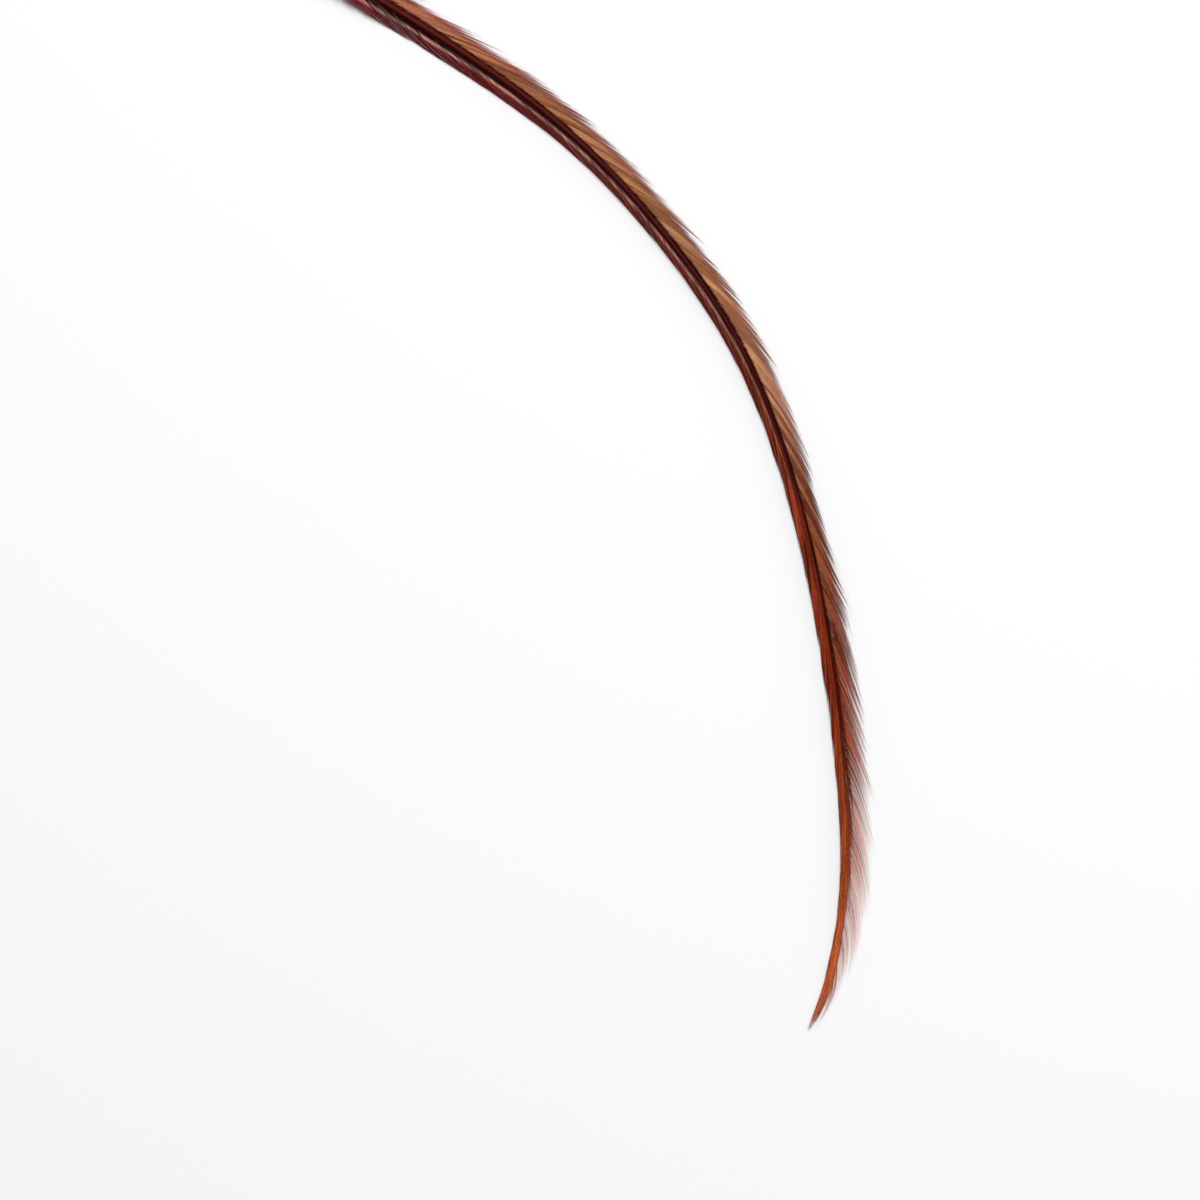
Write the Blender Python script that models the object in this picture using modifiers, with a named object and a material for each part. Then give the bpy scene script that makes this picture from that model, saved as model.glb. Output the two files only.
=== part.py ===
"""A rooster's saddle feather, lying on a flat surface.

Units are metres and +Z is up. The quill end is at -X, the tip is at +X, and the shaft bows towards +Y.
The feather grew as one piece: a tapering shaft with a vane of barbs on each side of it. The barbs cling
together in locks, so each vane is a thin sheet that is slit between its locks. Near the quill end the
locks are loose down, and past it they are long and swept close to the shaft. Each vane droops from the
raised shaft to the surface that the feather lies on.

Every shape is made in the feather's own coordinates, which are the distance along the shaft, the offset
to one side of it and the height, and then placed along the bowed shaft.
"""

import math
import random

import bmesh
import bpy
import numpy as np

# Driving dimensions, in metres. A station list is read along the shaft, from the quill end.
SHAFT_LENGTH = 0.2625
FEATHER_LENGTH = 0.263
VANE_START = 0.013
LAST_ROOT = 0.2525
LOCK_COUNT = 39
SHEET_THICKNESS = 0.00034

# How far the shaft has turned clockwise, seen from above, in degrees
BEND = ((0.0, 0.0), (0.030, 3.0), (0.057, 9.0), (0.080, 13.0), (0.110, 25.5), (0.135, 35.0), (0.150, 44.0),
        (0.165, 50.5), (0.184, 56.5), (0.205, 61.0), (0.225, 66.0), (0.240, 73.5), (0.263, 92.0))
# Radius of the shaft
SHAFT_RADIUS = ((0.0, 0.00030), (0.0006, 0.00050), (0.002, 0.00062), (0.006, 0.00066), (0.014, 0.00062),
                (0.030, 0.00052), (0.057, 0.00043), (0.100, 0.00031), (0.150, 0.00022), (0.200, 0.00016),
                (0.240, 0.00011), (0.2625, 0.00005))
# Height of the shaft's centre over the surface
SHAFT_HEIGHT = ((0.0, 0.00066), (0.010, 0.00070), (0.030, 0.00115), (0.060, 0.00185), (0.100, 0.0024),
                (0.150, 0.0025), (0.200, 0.0021), (0.235, 0.0012), (0.256, 0.00040), (0.263, 0.00025))
# Reach of each vane from the shaft: the outer vane is on the outside of the bow
OUTER_REACH = ((0.013, 0.0012), (0.018, 0.0056), (0.024, 0.0082), (0.031, 0.0074), (0.042, 0.0049),
               (0.057, 0.0038), (0.100, 0.0038), (0.140, 0.0039), (0.185, 0.0037), (0.192, 0.0044),
               (0.199, 0.0037), (0.225, 0.0034), (0.240, 0.0029), (0.252, 0.0019), (0.263, 0.0004))
INNER_REACH = ((0.013, 0.0012), (0.018, 0.0052), (0.024, 0.0074), (0.031, 0.0065), (0.042, 0.0042),
               (0.057, 0.0033), (0.075, 0.0028), (0.100, 0.0021), (0.140, 0.0018), (0.185, 0.0017),
               (0.215, 0.0013), (0.235, 0.0009), (0.263, 0.0003))
# How far a lock runs along the shaft, by the place of its root
LOCK_RUN = ((0.013, 0.0060), (0.025, 0.0072), (0.045, 0.0125), (0.120, 0.0130), (0.220, 0.0125), (0.2525, 0.0100))

# Where the quill end is, so that the feather's box is centred on the origin
QUILL_END = (-0.1176, -0.0278)

# Shape of a lock. Its root is the width that it takes along the shaft, and past the slit it narrows to its tip.
ROWS = 8
SLIT_ROW = 3
SPREAD_POWER = 0.72
SHORTEST_LOCK, LONGEST_LOCK = 0.88, 1.08
LOCK_LEAN = 0.62
LOCK_TAPER = 1.1
TIP_SHARE = 0.10
# Share of a vane's reach at which it meets the surface
OUTER_TOUCH = 0.70
INNER_TOUCH = 1.0
DROOP_POWER = 1.35

ROUTE_STEP = 0.0005
SHAFT_STEP = 0.006
WELD = 1e-6
SEED = 11

FEATHER_COLOR = (0.30, 0.085, 0.035, 1.0)


def read_stations(stations, distance):
    """Reads a smooth curve through (distance, value) stations, level before the first and after the last."""
    places, values = np.array(stations).T
    slopes = np.gradient(values, places)
    distance = np.clip(distance, places[0], places[-1])
    after = np.clip(np.searchsorted(places, distance), 1, len(places) - 1)
    before = after - 1
    span = places[after] - places[before]
    u = (distance - places[before]) / span
    rise = values[after] - values[before]
    bend_in = slopes[before] * span - rise
    bend_out = slopes[after] * span - rise
    return values[before] + u * rise + u * (1 - u) * ((1 - u) * bend_in - u * bend_out)


def make_route():
    """Follows the shaft and returns its distances, points and headings, with the tip straight along +X."""
    distance = np.arange(0.0, FEATHER_LENGTH + 0.005, ROUTE_STEP)
    heading = -np.radians(read_stations(BEND, distance))
    steps = ROUTE_STEP * np.stack([np.cos(heading), np.sin(heading)], axis=1)
    points = np.vstack([[0.0, 0.0], np.cumsum(steps, axis=0)[:-1]])
    tip = points[np.searchsorted(distance, FEATHER_LENGTH)]
    turn = -math.atan2(tip[1], tip[0])
    cosine, sine = math.cos(turn), math.sin(turn)
    turned = np.stack([cosine * points[:, 0] - sine * points[:, 1],
                       sine * points[:, 0] + cosine * points[:, 1]], axis=1)
    return distance, turned + np.array(QUILL_END), heading + turn


ROUTE = make_route()


def place(distance, offset, height):
    """Turns the feather's own coordinates into a point. A positive offset is to the outside of the bow."""
    distances, points, headings = ROUTE
    x = np.interp(distance, distances, points[:, 0])
    y = np.interp(distance, distances, points[:, 1])
    heading = np.interp(distance, distances, headings)
    return (x - offset * math.sin(heading), y + offset * math.cos(heading), height)


def sheet_height(distance, spread, touch):
    """Height of the sheet's underside, where spread is the share of the vane's reach."""
    ridge = read_stations(SHAFT_HEIGHT, distance) - SHEET_THICKNESS / 2
    return float(ridge * max(0.0, 1.0 - (spread / touch) ** DROOP_POWER))


def lock_point(side, root, next_root, across, along, stretch):
    """A point of one lock: across is 0 to 1 over its root, and along is 0 at the shaft to 1 at its tip."""
    slit = SLIT_ROW / ROWS
    past_slit = max(0.0, (along - slit) / (1.0 - slit))
    width = 1.0 - (1.0 - TIP_SHARE) * past_slit ** LOCK_TAPER
    if along > 0.999:
        width = 0.0
    share = LOCK_LEAN + (across - LOCK_LEAN) * width
    start = root + (next_root - root) * share
    reached = along + past_slit * (stretch - 1.0)
    distance = float(start + read_stations(LOCK_RUN, start) * reached)
    reach = float(read_stations(OUTER_REACH if side > 0 else INNER_REACH, distance))
    spread = reached ** SPREAD_POWER
    touch = OUTER_TOUCH if side > 0 else INNER_TOUCH
    return place(distance, side * reach * spread, sheet_height(distance, spread, touch))


def root_places():
    """Places along the shaft where the locks start, a little uneven."""
    rng = random.Random(SEED)
    even = np.linspace(VANE_START, LAST_ROOT, LOCK_COUNT + 1)
    gap = even[1] - even[0]
    return [even[0]] + [place_ + rng.uniform(-0.18, 0.18) * gap for place_ in even[1:-1]] + [even[-1]]


def add_lock(mesh, side, root, next_root, stretch):
    """Adds one lock to the vane's sheet as a grid, shaped to its place."""
    grid = bmesh.ops.create_grid(mesh, x_segments=2, y_segments=ROWS, size=1.0)
    for vert in grid["verts"]:
        across = (vert.co.x + 1.0) / 2.0
        along = (vert.co.y + 1.0) / 2.0
        vert.co = lock_point(side, root, next_root, across, along, stretch)


def make_vanes():
    """Makes both vanes as one sheet, open between the locks, and gives it its thickness."""
    rng = random.Random(SEED + 1)
    roots = root_places()
    sheet = bmesh.new()
    for side in (1, -1):
        for root, next_root in zip(roots, roots[1:]):
            add_lock(sheet, side, root, next_root, rng.uniform(SHORTEST_LOCK, LONGEST_LOCK))
    bmesh.ops.remove_doubles(sheet, verts=sheet.verts, dist=WELD)
    bmesh.ops.recalc_face_normals(sheet, faces=sheet.faces)
    if sum(face.normal.z for face in sheet.faces) < 0:
        bmesh.ops.reverse_faces(sheet, faces=sheet.faces)
    data = bpy.data.meshes.new("feather")
    sheet.to_mesh(data)
    sheet.free()
    vanes = bpy.data.objects.new("feather", data)
    thickness = vanes.modifiers.new("thickness", "SOLIDIFY")
    thickness.thickness = SHEET_THICKNESS
    thickness.offset = 1.0
    return vanes


def make_shaft():
    """Makes the shaft as a tapering tube with closed ends."""
    curve = bpy.data.curves.new("shaft_guide", "CURVE")
    curve.dimensions = "3D"
    curve.bevel_depth = 1.0
    curve.bevel_resolution = 2
    curve.use_fill_caps = True
    near_end = [station[0] for station in SHAFT_RADIUS[:4]]
    places = near_end + list(np.arange(0.012, SHAFT_LENGTH, SHAFT_STEP)) + [SHAFT_LENGTH]
    spline = curve.splines.new("POLY")
    spline.points.add(len(places) - 1)
    for point, distance in zip(spline.points, places):
        radius = float(read_stations(SHAFT_RADIUS, distance))
        height = max(radius, float(read_stations(SHAFT_HEIGHT, distance)))
        point.co = (*place(distance, 0.0, height), 1.0)
        point.radius = radius
    guide = bpy.data.objects.new("shaft_guide", curve)
    bpy.context.scene.collection.objects.link(guide)
    bpy.context.view_layer.update()
    evaluated = guide.evaluated_get(bpy.context.evaluated_depsgraph_get())
    data = bpy.data.meshes.new_from_object(evaluated)
    welded = bmesh.new()
    welded.from_mesh(data)
    bmesh.ops.remove_doubles(welded, verts=welded.verts, dist=WELD)
    bmesh.ops.recalc_face_normals(welded, faces=welded.faces)
    welded.to_mesh(data)
    welded.free()
    shaft = bpy.data.objects.new("shaft", data)
    shaft.matrix_world = guide.matrix_world
    bpy.data.objects.remove(guide)
    return shaft


def horn_material():
    """The feather's own rust brown, dull like horn."""
    material = bpy.data.materials.new("feather_keratin")
    material.use_nodes = True
    shader = material.node_tree.nodes["Principled BSDF"]
    shader.inputs["Base Color"].default_value = FEATHER_COLOR
    shader.inputs["Roughness"].default_value = 0.55
    shader.inputs["Metallic"].default_value = 0.0
    return material


def new_collection(name):
    collection = bpy.data.collections.new(name)
    bpy.context.scene.collection.children.link(collection)
    return collection


def main():
    for old in list(bpy.data.objects):
        bpy.data.objects.remove(old)
    feather_collection = new_collection("rooster_feather")
    joined_collection = new_collection("joined_shapes")
    feather = make_vanes()
    feather_collection.objects.link(feather)
    shaft = make_shaft()
    joined_collection.objects.link(shaft)
    shaft.hide_render = True
    shaft.display_type = "WIRE"
    union = feather.modifiers.new("shaft", "BOOLEAN")
    union.operation = "UNION"
    union.solver = "EXACT"
    union.object = shaft
    feather.data.materials.append(horn_material())


main()
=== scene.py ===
# %% [markdown]
# # A rooster's saddle feather on a pale table
# A saddle feather grows as one piece. A horn shaft runs from the quill end to the tip, and on each side of it
# stands a vane, which is a row of many hundred barbs that cling together in tufts. Near the quill end the
# barbs are loose down. A modeller can paint such a vane on a flat card, or grow hair on it. Here each barb is
# a real thin shape, because a card looks like paper from the side and hair does not survive an export.
#
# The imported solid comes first. It gives the size, the place and the outline that the barbs follow.

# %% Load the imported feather
import math
import random

import bpy
import numpy as np
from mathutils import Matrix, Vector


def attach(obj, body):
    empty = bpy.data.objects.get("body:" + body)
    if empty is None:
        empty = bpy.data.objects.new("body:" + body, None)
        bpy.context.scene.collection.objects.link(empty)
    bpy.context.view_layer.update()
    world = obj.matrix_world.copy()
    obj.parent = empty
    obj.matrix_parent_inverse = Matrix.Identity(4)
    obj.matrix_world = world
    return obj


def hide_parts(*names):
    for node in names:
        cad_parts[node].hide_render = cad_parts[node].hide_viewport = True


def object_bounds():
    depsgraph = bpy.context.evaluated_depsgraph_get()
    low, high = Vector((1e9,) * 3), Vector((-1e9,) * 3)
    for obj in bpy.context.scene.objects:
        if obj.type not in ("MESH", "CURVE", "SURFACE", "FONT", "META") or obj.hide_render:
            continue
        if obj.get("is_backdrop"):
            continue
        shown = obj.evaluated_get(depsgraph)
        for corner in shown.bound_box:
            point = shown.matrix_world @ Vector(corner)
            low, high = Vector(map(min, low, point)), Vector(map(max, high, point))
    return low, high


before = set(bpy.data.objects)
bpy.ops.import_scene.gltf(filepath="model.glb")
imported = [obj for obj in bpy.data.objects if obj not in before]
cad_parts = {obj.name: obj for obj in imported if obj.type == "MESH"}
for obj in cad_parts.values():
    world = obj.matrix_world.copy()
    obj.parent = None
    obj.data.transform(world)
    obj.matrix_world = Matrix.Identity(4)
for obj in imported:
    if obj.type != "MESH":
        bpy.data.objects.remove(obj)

solid_low, solid_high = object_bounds()
solid_span = [round(1000 * (high - low), 2) for low, high in zip(solid_low, solid_high)]
print("solid feather spans", solid_span, "mm")

# %% [markdown]
# ## Measures along the shaft
# A feather is easiest to describe along its own shaft: how far a point is from the quill end, how far it is
# to one side, and how high. Each measure below is a list of stations, which are pairs of a distance and a
# value, and a smooth curve is read through them. They are the measures of the solid, in metres, so that what
# is grown here lies where the solid lies. The outer vane is on the outside of the bow, the inner one inside.

# %% Measures of the feather
SHAFT_LENGTH = 0.2625
FEATHER_LENGTH = 0.263
VANE_START = 0.013
LAST_ROOT = 0.2525
LOCK_COUNT = 39
SHEET_THICKNESS = 0.00034
BEND_DEGREES = ((0.0, 0.0), (0.030, 3.0), (0.057, 9.0), (0.080, 13.0), (0.110, 25.5), (0.135, 35.0),
                (0.150, 44.0), (0.165, 50.5), (0.184, 56.5), (0.205, 61.0), (0.225, 66.0), (0.240, 73.5),
                (0.263, 92.0))
SHAFT_RADIUS = ((0.0, 0.00030), (0.0006, 0.00050), (0.002, 0.00062), (0.006, 0.00066), (0.014, 0.00062),
                (0.030, 0.00052), (0.057, 0.00043), (0.100, 0.00031), (0.150, 0.00022), (0.200, 0.00016),
                (0.240, 0.00011), (0.2625, 0.00005))
SHAFT_HEIGHT = ((0.0, 0.00066), (0.010, 0.00070), (0.030, 0.00115), (0.060, 0.00185), (0.100, 0.0024),
                (0.150, 0.0025), (0.200, 0.0021), (0.235, 0.0012), (0.256, 0.00040), (0.263, 0.00025))
OUTER_REACH = ((0.013, 0.0012), (0.018, 0.0056), (0.024, 0.0082), (0.031, 0.0074), (0.042, 0.0049),
               (0.057, 0.0038), (0.100, 0.0038), (0.140, 0.0039), (0.185, 0.0037), (0.192, 0.0044),
               (0.199, 0.0037), (0.225, 0.0034), (0.240, 0.0029), (0.252, 0.0019), (0.263, 0.0004))
INNER_REACH = ((0.013, 0.0012), (0.018, 0.0052), (0.024, 0.0074), (0.031, 0.0065), (0.042, 0.0042),
               (0.057, 0.0033), (0.075, 0.0028), (0.100, 0.0021), (0.140, 0.0018), (0.185, 0.0017),
               (0.215, 0.0013), (0.235, 0.0009), (0.263, 0.0003))
LOCK_RUN = ((0.013, 0.0060), (0.025, 0.0072), (0.045, 0.0125), (0.120, 0.0130), (0.220, 0.0125),
            (0.2525, 0.0100))
OUTER_TOUCH, INNER_TOUCH = 0.70, 1.0
DROOP_POWER = 1.35
QUILL_END = (-0.1176, -0.0278)
OUTER, INNER = 1, -1


def read_stations(stations, distance):
    """Reads a smooth curve through (distance, value) stations, level before the first and after the last."""
    places, values = np.array(stations).T
    slopes = np.gradient(values, places)
    distance = np.clip(distance, places[0], places[-1])
    after = np.clip(np.searchsorted(places, distance), 1, len(places) - 1)
    before = after - 1
    span = places[after] - places[before]
    u = (distance - places[before]) / span
    rise = values[after] - values[before]
    bend_in = slopes[before] * span - rise
    bend_out = slopes[after] * span - rise
    return values[before] + u * rise + u * (1 - u) * ((1 - u) * bend_in - u * bend_out)


print("shaft radius at mid-length is", round(1000 * float(read_stations(SHAFT_RADIUS, 0.13)), 3), "mm")

# %% [markdown]
# ## The path of the shaft
# The shaft bows, and more towards its tip. The path is walked in small steps, each turned by the bend at that
# place, and then the whole path is turned so that its tip lies straight along X from its quill end. After
# that, `at` turns distance, offset and height into a point of the scene, for one point or for thousands.

# %% Follow the shaft
PATH_STEP = 0.0005
PAST_THE_TIP = 0.005


def follow_shaft():
    """Returns the path's distances, points and headings."""
    distance = np.arange(0.0, FEATHER_LENGTH + PAST_THE_TIP, PATH_STEP)
    heading = -np.radians(read_stations(BEND_DEGREES, distance))
    steps = PATH_STEP * np.stack([np.cos(heading), np.sin(heading)], axis=1)
    points = np.vstack([[0.0, 0.0], np.cumsum(steps, axis=0)[:-1]])
    tip = points[np.searchsorted(distance, FEATHER_LENGTH)]
    turn = -math.atan2(tip[1], tip[0])
    cosine, sine = math.cos(turn), math.sin(turn)
    turned = np.stack([cosine * points[:, 0] - sine * points[:, 1],
                       sine * points[:, 0] + cosine * points[:, 1]], axis=1)
    return distance, turned + np.array(QUILL_END), heading + turn


path_distance, path_point, path_heading = follow_shaft()


def at(distance, offset, height):
    """Points at these distances along the shaft. A positive offset is to the outside of the bow."""
    x = np.interp(distance, path_distance, path_point[:, 0])
    y = np.interp(distance, path_distance, path_point[:, 1])
    heading = np.interp(distance, path_distance, path_heading)
    return np.stack([x - offset * np.sin(heading), y + offset * np.cos(heading), height + 0.0 * x], axis=-1)


print("tip of the shaft is at", [round(1000 * float(v), 1) for v in at(SHAFT_LENGTH, 0.0, 0.0)], "mm")

# %% [markdown]
# ## The camera
# The photograph looks straight down on the feather, so the camera does too. Its place follows from one
# measured point: the shaft enters the picture at its top edge, 57 mm from the quill end, and from there it
# runs down and to the right. A long lens keeps the view almost free of perspective.

# %% Camera
PICTURE_PIXELS = 1200
METRES_PER_PIXEL = 0.00017
CAMERA_ROLL = math.radians(58.05)
ENTRY_PIXEL = (378, 0)
ENTRY_DISTANCE = 0.057
LENS_MM, SENSOR_MM = 90.0, 36.0

to_right = np.array([math.cos(CAMERA_ROLL), math.sin(CAMERA_ROLL)])
to_bottom = np.array([math.sin(CAMERA_ROLL), -math.cos(CAMERA_ROLL)])
entry = at(ENTRY_DISTANCE, 0.0, 0.0)[:2]
middle = entry + METRES_PER_PIXEL * ((PICTURE_PIXELS / 2 - ENTRY_PIXEL[0]) * to_right
                                     + (PICTURE_PIXELS / 2 - ENTRY_PIXEL[1]) * to_bottom)
camera_height = PICTURE_PIXELS * METRES_PER_PIXEL * LENS_MM / SENSOR_MM
camera_data = bpy.data.cameras.new("camera")
camera_data.lens = LENS_MM
camera_data.sensor_width = SENSOR_MM
camera = bpy.data.objects.new("camera", camera_data)
bpy.context.scene.collection.objects.link(camera)
camera.location = (middle[0], middle[1], camera_height)
camera.rotation_euler = (0.0, 0.0, CAMERA_ROLL)
bpy.context.scene.camera = camera
print("camera is", round(1000 * camera_height), "mm above", [round(1000 * float(v), 1) for v in middle])

# %% [markdown]
# ## Table and light
# The feather lies on a plain pale surface under soft light from all sides. A sky of plain white does most of
# the work, and one large lamp adds a faint soft shadow. The surface is a pale grey that comes out nearly
# white in this light, because on a pure white one the shadow would be lost in the glare.

# %% Table
FLOOR_SIZE = 3.0
FLOOR_COLOUR = (222, 222, 223)
FLOOR_ROUGHNESS = 0.9


def srgb(red, green, blue):
    """A colour as picture editors write it, 0 to 255, turned into the linear values that nodes use."""
    linear = [c / 12.92 if c <= 0.04045 else ((c + 0.055) / 1.055) ** 2.4
              for c in (red / 255, green / 255, blue / 255)]
    return (*linear, 1.0)


def new_material(name):
    """A new material with one Principled shader, and that shader."""
    material = bpy.data.materials.new(name)
    material.use_nodes = True
    return material, material.node_tree.nodes["Principled BSDF"]


bpy.ops.object.select_all(action="DESELECT")
bpy.ops.mesh.primitive_plane_add(size=FLOOR_SIZE, location=(0.0, 0.0, 0.0))
floor = bpy.context.object
floor.name = "table_top"
floor_material, floor_shader = new_material("white_card")
floor_shader.inputs["Base Color"].default_value = srgb(*FLOOR_COLOUR)
floor_shader.inputs["Roughness"].default_value = FLOOR_ROUGHNESS
floor.data.materials.append(floor_material)
floor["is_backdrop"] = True
print("table top is", FLOOR_SIZE, "m wide")

# %% Light
SKY_STRENGTH = 0.86
LAMP_WATTS = 5.0
LAMP_SIZE = 0.45
LAMP_PLACE = (-0.22, 0.42, 0.75)

sky = bpy.data.worlds.new("white_sky")
sky.use_nodes = True
sky.node_tree.nodes["Background"].inputs["Color"].default_value = (1.0, 1.0, 1.0, 1.0)
sky.node_tree.nodes["Background"].inputs["Strength"].default_value = SKY_STRENGTH
bpy.context.scene.world = sky
bpy.context.scene.view_settings.view_transform = "Standard"
bpy.ops.object.light_add(type="AREA", location=LAMP_PLACE)
lamp = bpy.context.object
lamp.name = "soft_lamp"
lamp.data.shape = "DISK"
lamp.data.size = LAMP_SIZE
lamp.data.energy = LAMP_WATTS
towards = -np.array(LAMP_PLACE)
lamp.rotation_euler = (math.acos(-towards[2] / np.linalg.norm(towards)), 0.0,
                       math.atan2(towards[1], towards[0]) - math.pi / 2)
print("sky", SKY_STRENGTH, "and one lamp of", LAMP_WATTS, "W")

# %% [markdown]
# ## One thread, modelled once
# Every barb and barbule is the same simple thing: a thin tapering thread. One straight thread is modelled as
# a cylinder of three sides that is cut into rings, and it is then copied along thousands of curved paths. A
# thread has only a few dozen faces, because there are so many copies. A barb bends more than a barbule does,
# so it has more rings.

# %% Model a straight thread


def model_thread(sides, rings):
    """A closed thread of radius 1 from z = 0 to z = 1. Returns its points and its triangles."""
    bpy.ops.object.select_all(action="DESELECT")
    bpy.ops.mesh.primitive_cylinder_add(vertices=sides, radius=1.0, depth=1.0, location=(0.0, 0.0, 0.5),
                                        end_fill_type="NGON")
    thread = bpy.context.object
    bpy.ops.object.transform_apply(location=True)
    bpy.ops.object.mode_set(mode="EDIT")
    for height in np.linspace(0.0, 1.0, rings + 1)[1:-1]:
        bpy.ops.mesh.select_all(action="SELECT")
        bpy.ops.mesh.bisect(plane_co=(0.0, 0.0, height), plane_no=(0.0, 0.0, 1.0))
    bpy.ops.mesh.select_all(action="SELECT")
    bpy.ops.mesh.quads_convert_to_tris()
    bpy.ops.object.mode_set(mode="OBJECT")
    points = np.array([vertex.co for vertex in thread.data.vertices])
    triangles = np.array([face.vertices for face in thread.data.polygons])
    bpy.data.objects.remove(thread)
    return points, triangles


BARB_LEVELS = 8
BARBULE_LEVELS = 4
barb_thread = model_thread(sides=3, rings=BARB_LEVELS - 1)
barbule_thread = model_thread(sides=3, rings=BARBULE_LEVELS - 1)
print("a barb has", len(barb_thread[1]), "triangles and a barbule has", len(barbule_thread[1]))

# %% [markdown]
# ## From one thread to thousands
# Copying an object thousands of times is slow, so the copies are made with arrays: each copy's points are the
# thread's points, moved along that copy's own path, or spine. The copies are joined in one mesh. Four values
# go with each point for the colours: how far it is across its vane, how far it is along the feather, and two
# shades, one that differs from barb to barb and one from tuft to tuft. A UV map gives each copy a strip of
# its own, so that the colours can be baked into one image without two barbs sharing a place. The thread's
# sides lie in the middle of the strip, and its two end caps lie past them.

# %% Give each copy a strip of the bake image
STRIP_SHAPE = 5.0
STRIP_MARGIN = 0.08
SIDES_START, SIDES_LENGTH = 0.06, 0.88
CAP_START, CAP_END = 0.03, 0.97
CAP_WIDTH, CAP_DEPTH = 0.4, 0.02
FLAT = 1e-6


def strip_corners(points, triangles):
    """Flat place of each triangle's corners in the thread's own strip, 0 to 1 both ways."""
    corners = points[triangles]
    turn = np.arctan2(corners[..., 1], corners[..., 0])
    middle_turn = np.arctan2(corners[..., 1].mean(axis=1), corners[..., 0].mean(axis=1))
    turn = middle_turn[:, None] + (turn - middle_turn[:, None] + math.pi) % (2 * math.pi) - math.pi
    across = (turn - turn.min()) / np.ptp(turn)
    along = SIDES_START + SIDES_LENGTH * corners[..., 2]
    cap = np.ptp(corners[..., 2], axis=1) < FLAT
    across[cap] = 0.5 + CAP_WIDTH * corners[cap][..., 0]
    along[cap] = np.where(corners[cap][..., 2] < 0.5, CAP_START, CAP_END) + CAP_DEPTH * corners[cap][..., 1]
    return np.stack([across, along], axis=-1)


def bake_places(thread, copies):
    """UV places of all corners, with the copies' strips side by side in rows."""
    columns = max(1, math.ceil(math.sqrt(copies * STRIP_SHAPE)))
    rows = math.ceil(copies / columns)
    inside = STRIP_MARGIN + (1 - 2 * STRIP_MARGIN) * strip_corners(*thread)
    order = np.arange(copies)
    corner = np.stack([order % columns, order // columns], axis=-1)
    places = (corner[:, None, None, :] + inside[None]) / np.array([columns, rows])
    return places.reshape(-1, 2)


print("1000 threads lie in", math.ceil(math.sqrt(1000 * STRIP_SHAPE)), "columns of strips")

# %% Join copies of a thread
FLATNESS = 0.7
UP = np.array([0.0, 0.0, 1.0])


def join_threads(name, thread, grown, material):
    """Makes one object of threads. grown holds each ring's spine point, radius and values for the paint."""
    points, triangles = thread
    spine, radius = grown["spine"], grown["radius"]
    copies, rings = radius.shape
    ring = np.rint(points[:, 2] * (rings - 1)).astype(int)
    ahead = np.gradient(spine, axis=1)
    ahead /= np.linalg.norm(ahead, axis=2, keepdims=True)
    sideways = np.cross(UP, ahead)
    sideways /= np.linalg.norm(sideways, axis=2, keepdims=True)
    upwards = np.cross(ahead, sideways)
    thick = radius[:, ring]
    places = (spine[:, ring] + (thick * points[:, 0])[..., None] * sideways[:, ring]
              + (FLATNESS * thick * points[:, 1])[..., None] * upwards[:, ring])
    faces = triangles[None] + len(points) * np.arange(copies)[:, None, None]
    mesh = bpy.data.meshes.new(name)
    mesh.from_pydata(places.reshape(-1, 3).tolist(), [], faces.reshape(-1, 3).tolist())
    mesh.polygons.foreach_set("use_smooth", np.ones(len(mesh.polygons), bool))
    for value_name in ("across_vane", "along_feather", "shade", "tuft_shade"):
        values = np.broadcast_to(grown[value_name], radius.shape)[:, ring]
        attribute = mesh.attributes.new(value_name, "FLOAT", "POINT")
        attribute.data.foreach_set("value", values.astype(np.float32).ravel())
    bake_map = mesh.uv_layers.new(name="OFBake")
    bake_map.data.foreach_set("uv", bake_places(thread, copies).astype(np.float32).ravel())
    mesh.materials.append(material)
    piece = bpy.data.objects.new(name, mesh)
    bpy.context.scene.collection.objects.link(piece)
    print(name, "has", copies, "threads and", len(mesh.polygons), "triangles")
    return piece


print("threads are", FLATNESS, "times as thick as they are wide")

# %% [markdown]
# ## The paint of a barb
# A vane of this feather changes colour across its width: dark at the roots beside the shaft, then a thin seam
# where the dense roots end, then the barbs' own colour, and another one at their tips. On the inner vane the
# seam is painted light: a pale pink that stands for the table's light showing between and through the barbs.
# Those colours change along the feather too: tan over the first half of the outer vane, rust towards the tip.
# So each material reads its colours from ramps along the feather, and one shared node group blends them
# across the vane. Some tufts take a second, redder colour. The shade of each barb makes it a little lighter
# or darker than its neighbours, and a fine noise keeps it from looking dipped in one pot.

# %% Small helpers for nodes


def node(tree, kind, **settings):
    """Adds a node and sets the named properties on it."""
    new = tree.nodes.new(kind)
    for setting, value in settings.items():
        setattr(new, setting, value)
    return new


def feed(tree, source, socket):
    """Links a socket, or sets a plain number, on another socket."""
    if isinstance(source, (int, float)):
        socket.default_value = source
    else:
        tree.links.new(source, socket)


def maths(tree, operation, *values):
    """A Math node's result for these sockets and numbers."""
    step = node(tree, "ShaderNodeMath", operation=operation)
    for value, socket in zip(values, step.inputs):
        feed(tree, value, socket)
    return step.outputs[0]


def ease(tree, value, low, high):
    """Rises softly from 0 where value is low to 1 where it is high."""
    step = node(tree, "ShaderNodeMapRange", interpolation_type="SMOOTHSTEP")
    for source, socket in ((value, "Value"), (low, "From Min"), (high, "From Max")):
        feed(tree, source, step.inputs[socket])
    return step.outputs["Result"]


def blend_colours(tree, share, first, second):
    """Blends from the first colour to the second by a share."""
    mix = node(tree, "ShaderNodeMix", data_type="RGBA")
    for source, socket in ((share, "Factor"), (first, "A"), (second, "B")):
        feed(tree, source, mix.inputs[socket])
    return mix.outputs["Result"]


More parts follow.
